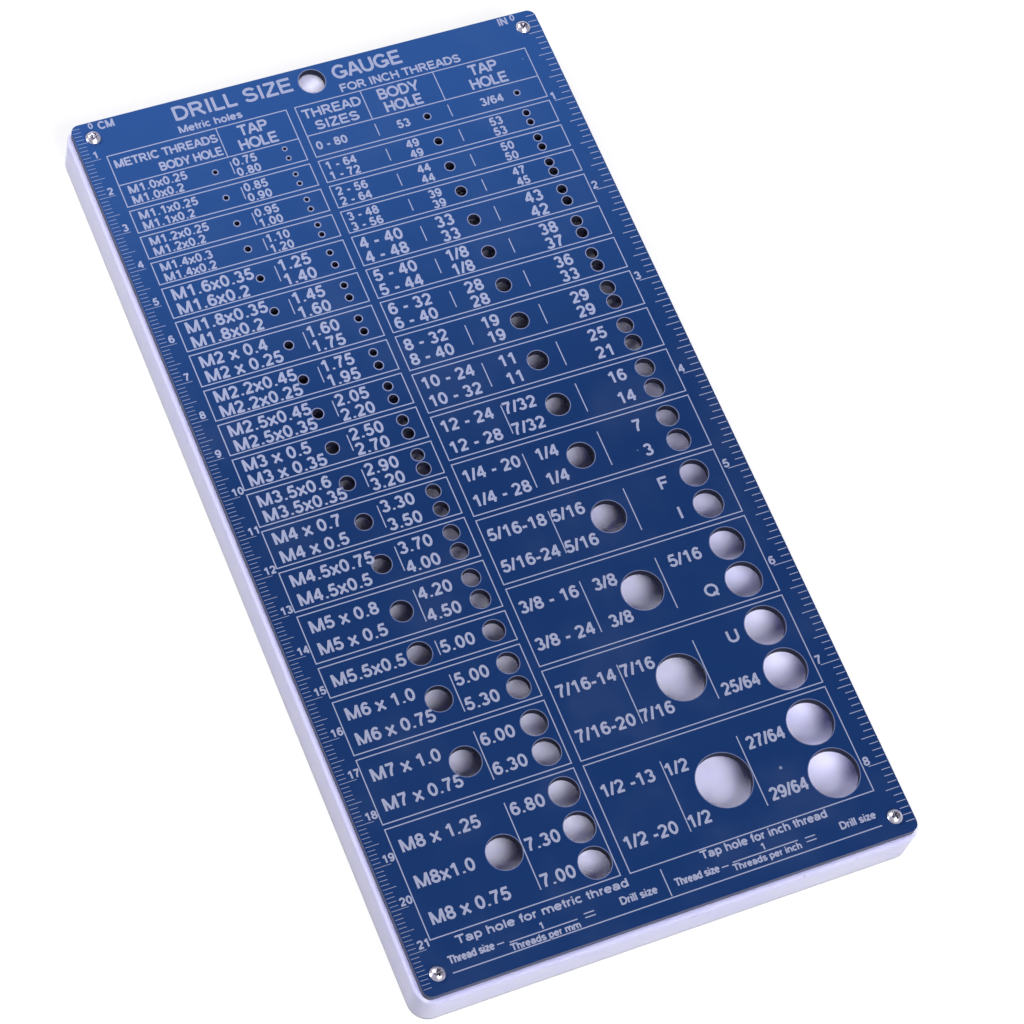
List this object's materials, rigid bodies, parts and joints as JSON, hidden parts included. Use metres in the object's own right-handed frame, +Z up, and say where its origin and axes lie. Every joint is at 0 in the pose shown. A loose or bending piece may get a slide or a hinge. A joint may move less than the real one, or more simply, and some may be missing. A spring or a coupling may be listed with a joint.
{
  "type": "drill size gauge",
  "caption": "Flat blue steel drill and tap gauge with metric and inch tables of graded holes, screwed to a white plastic tray base.",
  "frame": {"origin": "middle of the base's underside, where the gauge rests on a bench", "axes": "+Z up through the plate, +Y to the head of the plate with the hang hole, +X to the inch table at the reader's right; millimetres in the source"},
  "size_m": [0.1184, 0.2224, 0.0133],
  "materials": {
    "coated_plate": "satin blue coat on steel",
    "base_plastic": "smooth white",
    "screw_steel": "bright zinc"
  },
  "bodies": {
    "root": {"gauge_plate": "coated_plate", "base_block": "base_plastic", "corner_screws": "screw_steel"}
  },
  "joints": []
}
